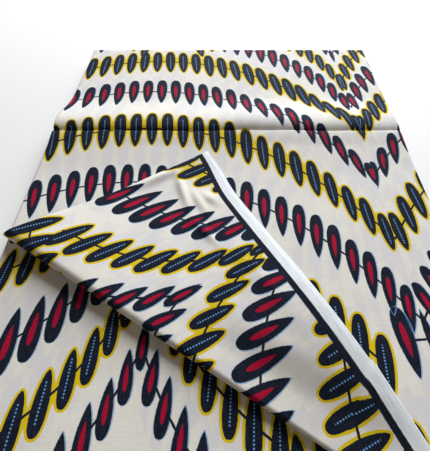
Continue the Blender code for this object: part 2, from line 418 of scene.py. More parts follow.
def turned_back(s, t):
    """Where the cloth goes at s along the fold line and t past it.

    Half a circle whose radius shrinks along the line, then a run back over the top ply that
    sinks as exp(-(past / length) ^ 1.5), and swings a little because the roll is a cone.
    """
    start, along, away = fold_line()
    radius = np.maximum(ROLL_RADIUS - ROLL_TAPER * s, ROLL_LEAST_RADIUS)
    past = np.maximum(t - np.pi * radius, 0.0)
    angle = np.minimum(t / radius, np.pi)
    rest = SOLID_WALL + SEAM_GAP
    sunk = np.exp(-((past / DRAPE_LENGTH) ** DRAPE_POWER))
    lift = np.where(past > 0.0, rest + (2.0 * radius - rest) * sunk, radius * (1.0 - np.cos(angle)))
    swing = np.where(radius > ROLL_LEAST_RADIUS, np.pi * ROLL_TAPER, 0.0)
    move_along = s - swing * past
    move_away = past - radius * np.sin(angle)
    flat = start + along * move_along[..., None] + away * move_away[..., None]
    return flat, lift, sunk


def make_ply(name, grid, cloth_place, cloth):
    """One ply from a grid of points, as a closed wall with half on each side of the surface."""
    rows, columns = grid.shape[:2]
    index = np.arange(rows * columns).reshape(rows, columns)
    faces = np.stack([index[:-1, :-1], index[:-1, 1:], index[1:, 1:], index[1:, :-1]], axis=-1)
    piece = make_mesh(name, grid, faces, cloth_place)
    solidify = piece.modifiers.new("Cloth thickness", "SOLIDIFY")
    solidify.thickness = cloth.thickness
    solidify.offset = 0.0
    return piece


def make_mesh(name, points, faces, cloth_place):
    """One mesh of quads, shaded smooth, with the flat cloth's u and v as its UV map."""
    mesh = bpy.data.meshes.new(name)
    mesh.vertices.add(points.size // 3)
    mesh.vertices.foreach_set("co", points.astype(np.float32).ravel())
    mesh.loops.add(faces.size)
    mesh.loops.foreach_set("vertex_index", faces.astype(np.int32).ravel())
    mesh.polygons.add(faces.size // 4)
    mesh.polygons.foreach_set("loop_start", np.arange(0, faces.size, 4, dtype=np.int32))
    mesh.update(calc_edges=True)
    uv = mesh.uv_layers.new(name="Cloth")
    place = cloth_place.reshape(-1, 2)[faces.ravel()]
    uv.uv.foreach_set("vector", place.astype(np.float32).ravel())
    mesh.shade_smooth()
    mesh.materials.append(cloth_material())
    piece = bpy.data.objects.new(name, mesh)
    bpy.context.scene.collection.objects.link(piece)
    return piece


def add_node(tree, kind, values=(), corners=(), **settings):
    """Adds one node. Values are (input, value or socket) pairs, and settings its properties.

    Corners are the points of a curve node's line, each from 0 to 1 both ways.
    """
    node = tree.nodes.new(kind)
    for name, value in settings.items():
        setattr(node, name, value)
    for place, value in values:
        if isinstance(value, bpy.types.NodeSocket):
            tree.links.new(value, node.inputs[place])
        else:
            node.inputs[place].default_value = value
    if corners:
        line = node.mapping.curves[0].points
        line[0].location = corners[0]
        line[1].location = corners[-1]
        for corner in corners[1:-1]:
            line.new(*corner)
        for point in line:
            point.handle_type = "VECTOR"
        node.mapping.update()
    return node


def new_group(name, *inputs):
    """An empty node group with float inputs, and those inputs by name."""
    group = bpy.data.node_groups.new(name, "ShaderNodeTree")
    for label in inputs:
        group.interface.new_socket(label, in_out="INPUT", socket_type="NodeSocketFloat")
    given = group.nodes.new("NodeGroupInput")
    return group, {label: given.outputs[label] for label in inputs}


def give_outputs(group, values, *outputs):
    """Gives a node group its outputs, which are values by name."""
    for label in outputs:
        group.interface.new_socket(label, in_out="OUTPUT", socket_type="NodeSocketFloat")
    result = group.nodes.new("NodeGroupOutput")
    for label in outputs:
        group.links.new(values[label], result.inputs[label])
    return group


def string_curves(strings):
    """The curves that read one band's strings, by name, as the corners of each one's line.

    STRING goes from a level in metres to a string's share of the band, and the others from that
    share to one column. Before the first string and after the last come two that aren't printed.
    """
    strings = [STRING_BEFORE, *strings, STRING_AFTER]
    shares = [STRING_STEP * number for number in range(len(strings))]
    curves = {"STRING": [(string[0], share) for share, string in zip(shares, strings)]}
    for column, (name, scale, zero) in enumerate(STRING_COLUMNS):
        heights = [zero + scale * string[column] for string in strings]
        curves[name] = list(zip(shares, heights))
    return curves


def add_steps(tree, values, table, curves=()):
    """Adds the nodes for each row of a table, and names the row's result in values.

    A row holds the result's name, what its node does, and the inputs. An input is a number, a
    name, or such a row without its name, for one more node. MIX_COLOURS goes from the second
    input's colour to the third's, the name of a curve reads it, and the rest are Math operations.
    """

    def worked_out(given):
        if isinstance(given, str):
            return values[given]
        if not isinstance(given, tuple):
            return given
        doing, *inputs = given
        found = [worked_out(each) for each in inputs]
        if doing == "MIX_COLOURS":
            places = zip((0, 6, 7), found)
            return add_node(tree, "ShaderNodeMix", places, data_type="RGBA").outputs[2]
        if doing in curves:
            return add_node(tree, "ShaderNodeFloatCurve", [("Value", *found)], curves[doing]).outputs[0]
        return add_node(tree, "ShaderNodeMath", enumerate(found), operation=doing).outputs[0]

    for result, *step in table:
        values[result] = worked_out(tuple(step))


# The steps for an arch's sag at X, and for how near X is to the point where two arches meet
SAG_AND_POINT = [
    ("out", "ABSOLUTE", "X"),
    ("x 2", "MULTIPLY", "X", "X"),
    ("sag", "MULTIPLY", "x 2", ("MULTIPLY_ADD", "x 2", ARCH_SAG_4, ARCH_SAG)),
    ("inward", "MAXIMUM", ("SUBTRACT", ARCH_HALF, "out"), 0.0),
    ("point", "EXPONENT", ("DIVIDE", "inward", -POINT_WIDTH)),
]


def arch_shares(name, x):
    """The steps for how far out x lies in its arch, as a share, and for its square and 4th power."""
    return [
        (name, "DIVIDE", x, ARCH_HALF),
        (f"{name} 2", "MULTIPLY", name, name),
        (f"{name} 4", "MULTIPLY", f"{name} 2", f"{name} 2"),
    ]


def string_group(curves):
    """Node group that finds the string of drops nearest to a place.

    A string's height falls away from the middle of its arch by 1.6 x^2 + 6 x^4 and dips at the
    point. Turned is how far the band was moved to bring the place into it.
    """
    group, values = new_group("String of drops", "X", "V")
    table = [
        *SAG_AND_POINT,
        ("level", "ADD", "V", "sag"),
        ("band level", "WRAP", "level", BAND_LOW + 2 * BAND_RISE, BAND_LOW),
        ("Turned", "SUBTRACT", "band level", "level"),
        # the string at this height, found again twice with the dip of the one found before
        ("share 1", "STRING", "band level"),
        ("level 1", "MULTIPLY_ADD", ("DIP", "share 1"), "point", "band level"),
        ("share 2", "STRING", "level 1"),
        ("level 2", "MULTIPLY_ADD", ("DIP", "share 2"), "point", "band level"),
        ("exact string", "MULTIPLY_ADD", ("STRING", "level 2"), STRINGS_IN_BAND + 1.0, -1.0),
        ("String", "ROUND", "exact string"),
        ("Ghost string", "ADD", ("FLOOR", "exact string"), 0.5),
    ]
    add_steps(group, values, table, curves)
    return give_outputs(group, values, "String", "Ghost string", "Turned")


def hanging_group(curves):
    """Node group for how far above a string a place is, if it hangs from the string at X."""
    group, values = new_group("Hanging", "X", "V", "Turned", "String")
    after_first = ("GREATER_THAN", "String", -STRING_TOLERANCE)
    before_end = ("LESS_THAN", "String", STRINGS_IN_BAND - 1.0 + STRING_TOLERANCE)
    is_first = ("LESS_THAN", "String", STRING_TOLERANCE)
    table = [
        *SAG_AND_POINT,
        ("band level", "ADD", ("ADD", "V", "sag"), "Turned"),
        ("share", "MULTIPLY_ADD", "String", STRING_STEP, STRING_STEP),
        ("Dip", "MULTIPLY", ("DIP", "share"), "point"),
        ("string level", "SUBTRACT", ("LEVEL", "share"), "Dip"),
        ("Above", "SUBTRACT", "band level", "string level"),
        ("steep 3", "MULTIPLY", ("MULTIPLY", "out", "x 2"), 4 * ARCH_SAG_4),
        ("steep 1", "MULTIPLY_ADD", "out", 2 * ARCH_SAG, "steep 3"),
        ("Slope", "MULTIPLY_ADD", "Dip", 1.0 / POINT_WIDTH, "steep 1"),
        # a string ends where the arches of the next band cover it
        ("v in band", "SUBTRACT", "string level", "sag"),
        ("inward 2", "MULTIPLY", "inward", "inward"),
        ("next steeper", "MULTIPLY_ADD", "inward 2", ARCH_SAG_4, ARCH_SAG),
        ("next level", "MULTIPLY_ADD", "inward 2", "next steeper", "v in band"),
        ("limit", "MULTIPLY_ADD", ("LESS_THAN", "out", MIDDLE_HALF), MIDDLE_END, BAND_END),
        ("in band", "MULTIPLY", after_first, before_end),
        ("in arch", "MULTIPLY", "in band", ("LESS_THAN", "out", ARCH_HALF + POINT_OVERLAP)),
        ("loose end", "MULTIPLY", is_first, ("GREATER_THAN", "out", LOOSE_END)),
        ("joined", "MULTIPLY", "in arch", ("SUBTRACT", 1.0, "loose end")),
        ("Shown", "MULTIPLY", "joined", ("LESS_THAN", "next level", "limit")),
    ]
    add_steps(group, values, table, curves)
    return give_outputs(group, values, "Above", "Dip", "Slope", "Shown")


def drop_outline(name, across, above, long, wide, tip, top):
    """The steps for a drop's edge: its half width is wide * t^tip * (1 - t)^top, t from its tip."""
    rise = ("MAXIMUM", ("ADD", ("DIVIDE", above, long), 0.5), 0.0)
    fall = ("MAXIMUM", ("SUBTRACT", 1.0, f"{name} rise"), 0.0)
    shape = ("MULTIPLY", ("POWER", f"{name} rise", tip), ("POWER", fall, top))
    past_side = ("SUBTRACT", across, ("MULTIPLY", shape, wide))
    past_end = ("MULTIPLY_ADD", long, -0.5, ("ABSOLUTE", above))
    return [(f"{name} rise", *rise), (f"{name} edge", "MAXIMUM", past_side, past_end)]


def drop_group(sizes, curves, hanging):
    """Node group for one drop: how far a place lies outside each of its outlines.

    Outlines that the drop doesn't have, and all of a drop that isn't shown, lie 1 m off.
    """
    inputs = ("X", "V", "Turned", "String", "Ghost string", "Middle", "Number")
    group, values = new_group("One drop on its string", *inputs)
    for label, string in (("", "String"), ("ghost ", "Ghost string")):
        places = [("X", values["Middle"]), ("V", values["V"])]
        places += [("Turned", values["Turned"]), ("String", values[string])]
        hung = add_node(group, "ShaderNodeGroup", places, node_tree=hanging)
        values |= {label + output.name: output for output in hung.outputs}
    places = [(0, values["Number"]), (1, values["String"]), (2, CHANCE_SEED)]
    seed = add_node(group, "ShaderNodeCombineXYZ", places).outputs[0]
    chance = add_node(group, "ShaderNodeTexWhiteNoise", [("Vector", seed)], noise_dimensions="3D")
    parts = add_node(group, "ShaderNodeSeparateXYZ", [(0, chance.outputs["Color"])])
    values |= {f"by chance {i}": parts.outputs[i] for i in range(3)}
    gold_full = GOLD_FULLNESS * sizes.drop_width / 2
    red_full = RED_FULLNESS * sizes.drop_width / 2
    longer = sizes.gold_length - sizes.red_length
    table = [
        ("share", "MULTIPLY_ADD", "String", STRING_STEP, STRING_STEP),
        ("turn", "MULTIPLY_ADD", ("TURN", "share"), 2.0, -1.0),
        ("even lean", "MULTIPLY_ADD", "turn", "Middle", DROPS_LEAN - CHANCE_LEAN / 2),
        ("lean", "MULTIPLY_ADD", "by chance 0", CHANCE_LEAN, "even lean"),
        ("drift", "MULTIPLY_ADD", "by chance 1", CHANCE_DRIFT, -CHANCE_DRIFT / 2),
        ("above drop", "ADD", "Above", "drift"),
        ("from drop", "SUBTRACT", "X", "Middle"),
        ("along lean", "SUBTRACT", "from drop", ("MULTIPLY", "lean", "above drop")),
        ("across", "ABSOLUTE", "along lean"),
        # even strings have the gold edge and odd ones the red middle
        ("odd", "FLOORED_MODULO", "String", 2.0),
        ("is gold", "SUBTRACT", 1.0, "odd"),
        ("tip", "MULTIPLY_ADD", "odd", RED_TIP - GOLD_TIP, GOLD_TIP),
        ("odd size", "MULTIPLY_ADD", "by chance 2", 2 * CHANCE_SIZE, 2 - CHANCE_SIZE),
        ("even size", "MULTIPLY", ("SIZE", "share"), "odd size"),
        # drops get smaller towards the point where two arches meet
        *arch_shares("middle share", "Middle"),
        ("shrink", "MULTIPLY_ADD", "middle share 4", -SHRINK_TO_POINT, 1.0),
        ("size", "MULTIPLY", "even size", "shrink"),
        ("long", "MULTIPLY", ("MULTIPLY_ADD", "is gold", longer, sizes.red_length), "size"),
        ("wide", "MULTIPLY", ("MULTIPLY_ADD", "odd", red_full - gold_full, gold_full), "size"),
        ("long out", "ADD", "long", GOLD_EDGE_ENDS * sizes.gold_edge),
        ("wide out", "ADD", "wide", GOLD_FULLNESS * sizes.gold_edge),
        *drop_outline("navy", "across", "above drop", "long", "wide", "tip", DROP_TOP),
        *drop_outline("gold", "across", "above drop", "long out", "wide out", GOLD_EDGE_TIP, DROP_TOP),
        ("core above", "ADD", "above drop", -CORE_UP),
        ("core long", "MULTIPLY", "long", CORE_LENGTH),
        ("core wide", "MULTIPLY", "wide", CORE_WIDTH),
        *drop_outline("red", "across", "core above", "core long", "core wide", CORE_TIP, CORE_TOP),
        # a dotted line down the middle
        ("dot off", "SUBTRACT", ("FRACT", ("DIVIDE", "above drop", DOT_PITCH)), 0.5),
        ("dot along", "MULTIPLY", "dot off", DOT_PITCH),
        ("dot along 2", "MULTIPLY", "dot along", "dot along"),
        ("dot far", "SQRT", ("MULTIPLY_ADD", "across", "across", "dot along 2")),
        ("dot edge", "SUBTRACT", "dot far", DOT_RADIUS),
        ("past line", "MULTIPLY_ADD", "long", -DOTTED_HALF, ("ABSOLUTE", "above drop")),
        ("dots edge", "MAXIMUM", "dot edge", "past line"),
        # the drops of the ply below, between the strings and half a drop along
        ("ghost from", "SUBTRACT", "from drop", sizes.drop_pitch / 2),
        ("ghost along", "SUBTRACT", "ghost from", ("MULTIPLY", "lean", "ghost Above")),
        ("ghost across", "ABSOLUTE", "ghost along"),
        *drop_outline(
            "ghost", "ghost across", "ghost Above", sizes.gold_length, gold_full, GHOST_TIP, DROP_TOP
        ),
        # the blue was printed a little to one side, so its rim thins on the other
        ("rim thin", "MAXIMUM", ("MULTIPLY_ADD", "along lean", -RIM_SLOPE, RIM_LOSS), 0.0),
        ("rim edge", "ADD", "navy edge", ("MINIMUM", "rim thin", RIM_MOST_LOSS)),
        ("hidden", "SUBTRACT", 1.0, "Shown"),
        ("gold off", "ADD", "hidden", "odd"),
        ("red off", "ADD", "hidden", "is gold"),
        ("navy", "ADD", "navy edge", "hidden"),
        ("gold", "ADD", "gold edge", "gold off"),
        ("red", "ADD", "red edge", "red off"),
        ("dots", "ADD", "dots edge", "gold off"),
        ("rim", "ADD", "rim edge", "red off"),
        ("ghost", "ADD", "ghost edge", "hidden"),
    ]
    add_steps(group, values, table, curves)
    return give_outputs(group, values, "navy", "gold", "red", "dots", "rim", "ghost")


def inside(outline, result, softness=INK_SOFTNESS):
    """The step that turns a distance outside an outline into 1 inside and 0 outside."""
    ramp = ("MULTIPLY_ADD", outline, -0.5 / softness, 0.5)
    return (result, "MINIMUM", ("MAXIMUM", ramp, 0.0), 1.0)


def band_group(sizes, strings):
    """Node group for one of the two sets of arches: how strongly each colour is printed."""
    curves = string_curves(strings)
    hanging = hanging_group(curves)
    drop = drop_group(sizes, curves, hanging)
    group, values = new_group("Arches of drops", "U", "V", "Arch", "Lift")
    table = [
        ("x", "WRAP", ("SUBTRACT", "U", "Arch"), ARCH_HALF, -ARCH_HALF),
        ("v", "ADD", "V", "Lift"),
    ]
    add_steps(group, values, table)
    places = [("X", values["x"]), ("V", values["v"])]
    found = add_node(group, "ShaderNodeGroup", places, node_tree=string_group(curves))
    values |= {output.name: output for output in found.outputs}
    places += [("Turned", values["Turned"]), ("String", values["String"])]
    hung = add_node(group, "ShaderNodeGroup", places, node_tree=hanging)
    values |= {output.name: output for output in hung.outputs}
    places += [("Ghost string", values["Ghost string"])]
    drops_per_metre = ("DIVIDE", "close 1", sizes.drop_pitch)
    table = [
        # where x lies among the drops of its string: times 2 less 1 reads a curve halved about 0.5
        *arch_shares("arch share", "x"),
        ("share", "MULTIPLY_ADD", "String", STRING_STEP, STRING_STEP),
        ("closer", "MULTIPLY_ADD", ("WIDER", "share"), -2.0, 1.0),
        ("crowd 4", "MULTIPLY_ADD", "arch share 4", CROWDING, 1.0),
        ("crowd", "MULTIPLY_ADD", "arch share 2", "closer", "crowd 4"),
        ("crowded number", "MULTIPLY", ("DIVIDE", "x", sizes.drop_pitch), "crowd"),
        ("shift", "MULTIPLY_ADD", ("SHIFT", "share"), -2.0, 1.0),
        ("to the point", "SUBTRACT", 1.0, "arch share 2"),
        ("shifted number", "MULTIPLY_ADD", "shift", "to the point", "crowded number"),
        ("sides", "MULTIPLY_ADD", ("SIDES", "share"), -2.0, 1.0),
        ("at the side", "MULTIPLY_ADD", "Dip", MORE_DROPS_PER_DIP, "sides"),
        ("number", "MULTIPLY_ADD", ("SIGN", "x"), "at the side", "shifted number"),
        # how many drops a metre would hold there, which is the slope of that number
        ("close 4", "MULTIPLY_ADD", "arch share 4", 5.0 * CROWDING, 1.0),
        ("close 1", "MULTIPLY_ADD", "arch share 2", ("MULTIPLY", "closer", 3.0), "close 4"),
        ("close", "MULTIPLY_ADD", "Dip", MORE_DROPS_PER_DIP / POINT_WIDTH, drops_per_metre),
        ("left", "FLOOR", "number"),
        ("right", "ADD", "left", 1.0),
    ]
    for side in ("left", "right"):
        away = ("DIVIDE", ("SUBTRACT", side, "number"), "close")
        table.append((f"{side} middle", "ADD", "x", away))
    add_steps(group, values, table, curves)
    for side in ("left", "right"):
        given_drop = [*places, ("Middle", values[f"{side} middle"]), ("Number", values[side])]
        node = add_node(group, "ShaderNodeGroup", given_drop, node_tree=drop)
        values |= {f"{side} {output.name}": output for output in node.outputs}
    table = [
        ("steepness", "SQRT", ("MULTIPLY_ADD", "Slope", "Slope", 1.0)),
        ("string far", "DIVIDE", ("ABSOLUTE", "Above"), "steepness"),
        ("string edge", "SUBTRACT", "string far", sizes.string_width / 2),
        ("string", "ADD", "string edge", ("SUBTRACT", 1.0, "Shown")),
        ("drops", "MINIMUM", "left navy", "right navy"),
        ("webbed", "SMOOTH_MIN", "left gold", "right gold", GOLD_WEB),
        ("rims", "MINIMUM", "left rim", "right rim"),
        ("ghosts", "MINIMUM", "left ghost", "right ghost"),
        ("ghost line", "SUBTRACT", ("ABSOLUTE", "ghosts"), GHOST_EDGE_HALF),
        inside(("MINIMUM", "drops", "string"), "Navy"),
        inside("webbed", "Gold"),
        inside(("MINIMUM", "left red", "right red"), "Red"),
        inside(("MINIMUM", "left dots", "right dots"), "dot blue"),
        inside(("SUBTRACT", "rims", RIM_WIDTH), "rim blue", RIM_SOFTNESS),
        inside("ghosts", "Ghost", GHOST_SOFTNESS),
        inside("ghost line", "Ghost edge", GHOST_EDGE_HALF),
        ("rim shown", "MULTIPLY", "rim blue", ("SUBTRACT", 1.0, "Navy")),
        ("Blue", "MAXIMUM", "dot blue", ("MULTIPLY", "rim shown", RIM_STRENGTH)),
    ]
    add_steps(group, values, table)
    return give_outputs(group, values, *INKS)


def print_group(sizes):
    """Node group for the whole print: both sets of arches, the borders and the selvedges."""
    group, values = new_group("Wax print", "U", "V")
    for label, strings, arch, lift in (
        ("first", FIRST_STRINGS, FIRST_ARCHES_X, 0.0),
        ("second", SECOND_STRINGS, SECOND_ARCHES_X, BAND_RISE),
    ):
        band = band_group(sizes, strings)
        given_band = [("U", values["U"]), ("V", values["V"]), ("Arch", arch), ("Lift", lift)]
        node = add_node(group, "ShaderNodeGroup", given_band, node_tree=band)
        values |= {f"{label} {output.name}": output for output in node.outputs}
    bordered = sizes.selvedge + sizes.border
    table = [
        ("from side", "MINIMUM", "V", ("SUBTRACT", CLOTH_WIDTH, "V")),
        inside(("SUBTRACT", "from side", bordered), "border", BORDER_SOFTNESS),
        inside(("SUBTRACT", "from side", sizes.selvedge), "Selvedge", SELVEDGE_SOFTNESS),
        ("field", "SUBTRACT", 1.0, "border"),
    ]
    both = {ink: ("MAXIMUM", f"first {ink}", f"second {ink}") for ink in INKS}
    table += [(ink, "MULTIPLY", both[ink], "field") for ink in INKS if ink != "Navy"]
    navy = ("MAXIMUM", both["Navy"], "border")
    table.append(("Navy", "MULTIPLY", navy, ("SUBTRACT", 1.0, "Selvedge")))
    add_steps(group, values, table)
    return give_outputs(group, values, *INKS, "Selvedge")


COTTON = "Cotton, plain woven and wax-printed"


def wax_printed_cotton(sizes):
    """Cotton, plain woven, wax-printed on both sides.

    It gives flat inks with slightly soft edges, a fine uneven thread in both directions, and
    the low sheen of a pressed cotton.
    """
    material = bpy.data.materials.new(COTTON)
    material.use_nodes = True
    tree = material.node_tree
    tree.nodes.clear()
    place = add_node(tree, "ShaderNodeUVMap", uv_map="Cloth").outputs[0]
    noise = {}
    for name, along, across, detail in NOISES:
        stretch = [("Vector", place), ("Scale", (along, across, 1.0))]
        stretched = add_node(tree, "ShaderNodeMapping", stretch).outputs[0]
        settings = [("Vector", stretched), ("Scale", 1.0), ("Detail", detail)]
        noise[name] = add_node(tree, "ShaderNodeTexNoise", settings, noise_dimensions="2D")
    # ink edges wander a little, as they do where hot wax is stamped on cloth
    terms = [(0, noise["wander"].outputs["Color"]), (1, (0.5, 0.5, 0.5))]
    offset = add_node(tree, "ShaderNodeVectorMath", terms, operation="SUBTRACT").outputs[0]
    terms = [(0, offset), (1, (INK_WANDER, INK_WANDER, 0.0)), (2, place)]
    moved = add_node(tree, "ShaderNodeVectorMath", terms, operation="MULTIPLY_ADD").outputs[0]
    parts = add_node(tree, "ShaderNodeSeparateXYZ", [(0, moved)])
    given_place = [("U", parts.outputs[0]), ("V", parts.outputs[1])]
    inks = add_node(tree, "ShaderNodeGroup", given_place, node_tree=print_group(sizes))

    values = {output.name: output for output in inks.outputs}
    values |= {name: noise[name].outputs["Fac"] for name in ("warp", "weft", "cloud")}
    for name in ("ground", "navy", "gold", "crimson", "pale_blue", "lavender"):
        values[name] = (*getattr(sizes, name), 1.0)
    for name, code in OTHER_COLOURS.items():
        values[name] = (*linear(code), 1.0)
    values["shade"] = (*[GROUND_SHADE * part for part in sizes.ground], 1.0)
    # the threads' unevenness shades the ground, wears the navy and bumps the surface
    table = [
        ("threads", "ADD", "warp", "weft"),
        ("thread tone", "MAXIMUM", ("MULTIPLY_ADD", "threads", *THREAD_TONE), 0.0),
        ("tone", "MULTIPLY_ADD", "cloud", CLOUD_TONE, "thread tone"),
        ("patches", "MAXIMUM", ("MULTIPLY_ADD", "cloud", *CLOUD_PATCHES), 0.0),
        ("ghost soft", "MINIMUM", ("MULTIPLY", "Ghost", "patches"), GHOST_MOST),
        ("ghost edge soft", "MULTIPLY", "Ghost edge", GHOST_EDGE_MOST),
        ("navy wear", "MAXIMUM", ("MULTIPLY_ADD", "threads", *THREAD_WEAR), 0.0),
        ("thread line", "MAXIMUM", ("MULTIPLY_ADD", "warp", *THREAD_LINES), 0.0),
        ("lined", "MINIMUM", "thread line", 1.0),
        ("plain", "MIX_COLOURS", "tone", "ground", "shade"),
        ("ghosted", "MIX_COLOURS", "ghost soft", "plain", "lavender"),
        ("ghost edged", "MIX_COLOURS", "ghost edge soft", "ghosted", "faded gold"),
        ("bare side", "MIX_COLOURS", "lined", "bleached", "bleached shade"),
        ("sided", "MIX_COLOURS", "Selvedge", "ghost edged", "bare side"),
        ("indigo", "MIX_COLOURS", "navy wear", "navy", "worn navy"),
        ("with gold", "MIX_COLOURS", "Gold", "sided", "gold"),
        ("with navy", "MIX_COLOURS", "Navy", "with gold", "indigo"),
        ("with blue", "MIX_COLOURS", "Blue", "with navy", "pale_blue"),
        ("cloth", "MIX_COLOURS", "Red", "with blue", "crimson"),
    ]
    add_steps(tree, values, table)
    weave = [("Height", values["threads"]), ("Strength", 0.35), ("Distance", WEAVE_DEPTH)]
    bump = add_node(tree, "ShaderNodeBump", weave)
    finish = [("Roughness", 0.80), ("IOR", 1.5), ("Specular IOR Level", 0.08)]
    finish += [("Sheen Weight", 0.02), ("Sheen Roughness", 0.5)]
    finish += [("Base Color", values["cloth"]), ("Normal", bump.outputs[0])]
    surface = add_node(tree, "ShaderNodeBsdfPrincipled", finish)
    add_node(tree, "ShaderNodeOutputMaterial", [("Surface", surface.outputs[0])])
    return material


def cloth_material():
    """The one cotton that every ply is made of, made once."""
    return bpy.data.materials.get(COTTON) or wax_printed_cotton(bpy.context.scene.ankara_print)


# The top ply's rows are finer from before the fold mark to past it, and its waves stop at its edges
FINE_BEFORE = 0.065
FINE_PAST = 0.045
COARSER_ROWS = 1.6
SECOND_COARSER = 1.4
HEM = 0.03
CREASE_HEM = 0.006
SHADED_EDGE = 0.004


def make_top_cloth(cloth):
    """The top ply up to the fold line: rows from that line to the far curl, columns across."""
    start, along, away = fold_line()
    reach = EDGE_CURL + SOLID_WALL / 2
    flat_right = RIGHT - reach
    line_end = LEFT + TURNED_ALONG_SELVEDGE
    columns = np.concatenate([stations(LEFT, line_end), stations(line_end, flat_right)[1:]])
    x_flat, over_x = with_curl(columns, EDGE_CURL)
    line_y = start[1] + (x_flat - start[0]) * along[1] / along[0]
    line_y = np.maximum(line_y + cloth.thickness / 2 / away[1], NEAR)
    lower_end = CREASE_Y - FINE_BEFORE
    fine = stations(lower_end, CREASE_Y + FINE_PAST, GRID_STEP / 2)
    upper = np.concatenate([fine, stations(fine[-1], FAR - reach)[1:]])
    upper, over_y = with_curl(upper, EDGE_CURL)
    share = np.linspace(0.0, 1.0, int((lower_end - NEAR) / GRID_STEP / COARSER_ROWS))
    lower = line_y + (lower_end - line_y) * share[:-1, None]
    y = np.concatenate([lower, np.repeat(upper[:, None], len(x_flat), axis=1)])
    over_y = np.concatenate([np.zeros(len(lower)), over_y])[:, None]
    lean = left_edge(y) - LEFT
    x = x_flat + lean * (flat_right - x_flat) / (flat_right - LEFT)
    hem = smooth_step((RIGHT - x) / HEM) * smooth_step((FAR - y) / HEM)
    z = TOP_Z + crease_height(x, y, cloth) * smooth_step((RIGHT - x) / CREASE_HEM)
    z = z + cloth.wave * soft_ridges(FLAT_WAVES, x, y) * hem
    grid = curled(x, y, z, over_x, over_y, EDGE_CURL)
    place = np.stack([x + over_x, y - NEAR + over_y], axis=-1)
    piece = make_ply("top_cloth", grid, place, cloth)
    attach(piece, "root")
    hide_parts("top_ply")


def make_second_cloth(cloth):
    """The ply under the top one. Its v counts from the far selvedge, so its print is mirrored."""
    radius = EDGE_CURL - SOLID_WALL - SEAM_GAP
    reach = EDGE_CURL + SOLID_WALL / 2
    step = GRID_STEP * SECOND_COARSER
    columns, over_x = with_curl(stations(0.0, 1.0, step / PACK_WIDTH), radius)
    upright, over_y = with_curl(stations(NEAR, FAR - reach, step), radius)
    y = np.repeat(upright[:, None], len(columns), axis=1)
    edge = left_edge(y)
    x = edge + (RIGHT - reach - edge) * columns
    over_y = over_y[:, None]
    start, _, away = fold_line()
    open_side = (start - np.stack([x, y], axis=-1)) @ away
    shown = smooth_step((open_side - SHADED_EDGE) / HEM)
    z = SECOND_Z + cloth.wave * soft_ridges(FLAT_WAVES, x, y) * shown
    grid = curled(x, y, z, over_x, over_y, radius)
    place = np.stack([x + over_x - SECOND_SHIFT, CLOTH_WIDTH - (y - NEAR + over_y)], axis=-1)
    piece = make_ply("second_cloth", grid, place, cloth)
    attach(piece, "root")
    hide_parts("second_ply")


# The turned corner's finer rows round the roll, and where its rows stop before the corner's point
ROLL_ROWS = 2.5
CORNER_COLUMNS = 1.2
CORNER_END = 0.9985

# Its tip is pulled out past the selvedge's line, its outer edge there is rolled under, and the
# selvedge droops: how far, and over what lengths from the raw end and from the selvedge
TIP_PULL, TIP_PULL_ALONG, TIP_PULL_UP = 0.0085, 0.075, 0.110
TIP_ROLL, TIP_ROLL_ALONG, TIP_ROLL_UP = 0.0040, 0.045, 0.012
DROOP, DROOP_WIDTH = 0.0007, 0.005

# Beside the roll it swells: how high, how far to its top, its width, its middle and its length
SWELL, SWELL_RISE, SWELL_WIDTH = 0.0048, 0.032, 0.085
SWELL_MIDDLE, SWELL_LENGTH = 0.300, 0.080


def make_turned_corner(cloth):
    """The corner from the fold line to its tip, in rows beside the fold line."""
    start, along, away = fold_line()
    corner = np.array([LEFT, NEAR])
    height = -(corner - start) @ away
    foot = (corner - start) @ along
    whole = math.hypot(TURNED_UP_LEFT_EDGE, TURNED_ALONG_SELVEDGE)
    arc_end = np.pi * ROLL_RADIUS
    round_roll = stations(cloth.thickness / 2, arc_end, GRID_STEP / ROLL_ROWS)
    t = np.concatenate([round_roll, stations(arc_end, height * CORNER_END)[1:]])
    across = stations(0.0, 1.0, GRID_STEP / whole * CORNER_COLUMNS)
    share = t[:, None] / height
    s = foot * share + whole * (1.0 - share) * across
    t = np.broadcast_to(t[:, None], s.shape)
    cut = start + along * s[..., None] - away * t[..., None]
    from_end = cut[..., 0] - LEFT
    from_selvedge = cut[..., 1] - NEAR
    along_end = 1.0 - from_end / TIP_PULL_ALONG
    pulled = smooth_step(along_end) * smooth_step(1.0 - from_selvedge / TIP_PULL_UP)
    along_end = 1.0 - from_end / TIP_ROLL_ALONG
    rolled = smooth_step(along_end) * smooth_step(1.0 - from_selvedge / TIP_ROLL_UP)
    moved = TIP_ROLL * rolled - TIP_PULL * pulled
    s = s + along[1] * moved
    t = t - away[1] * moved
    flat, lift, sunk = turned_back(s, t)
    x, y = flat[..., 0], flat[..., 1]
    # it lies on the top ply's rise and waves, with its own wrinkles and billow
    raised = crease_height(x, y, cloth) + cloth.wave * soft_ridges(FLAT_WAVES, x, y)
    raised += cloth.wrinkle * soft_ridges(CORNER_WRINKLES, from_end, from_selvedge)
    raised += soft_ridges([BILLOW], from_end, from_selvedge)
    raised -= DROOP * smooth_step(1.0 - from_selvedge / DROOP_WIDTH)
    past = np.maximum(t - arc_end, 0.0)
    swell = smooth_step(past / SWELL_RISE) * np.exp(-((past / SWELL_WIDTH) ** 2))
    swell = SWELL * swell * np.exp(-(((s - SWELL_MIDDLE) / SWELL_LENGTH) ** 2))
    lift = lift + raised * (1.0 - sunk) + swell
    grid = np.concatenate([flat, (TOP_Z + lift)[..., None]], axis=-1)
    place = np.stack([cut[..., 0], from_selvedge], axis=-1)
    piece = make_ply("turned_corner_cloth", grid, place, cloth)
    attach(piece, "root")
    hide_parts("turned_corner")


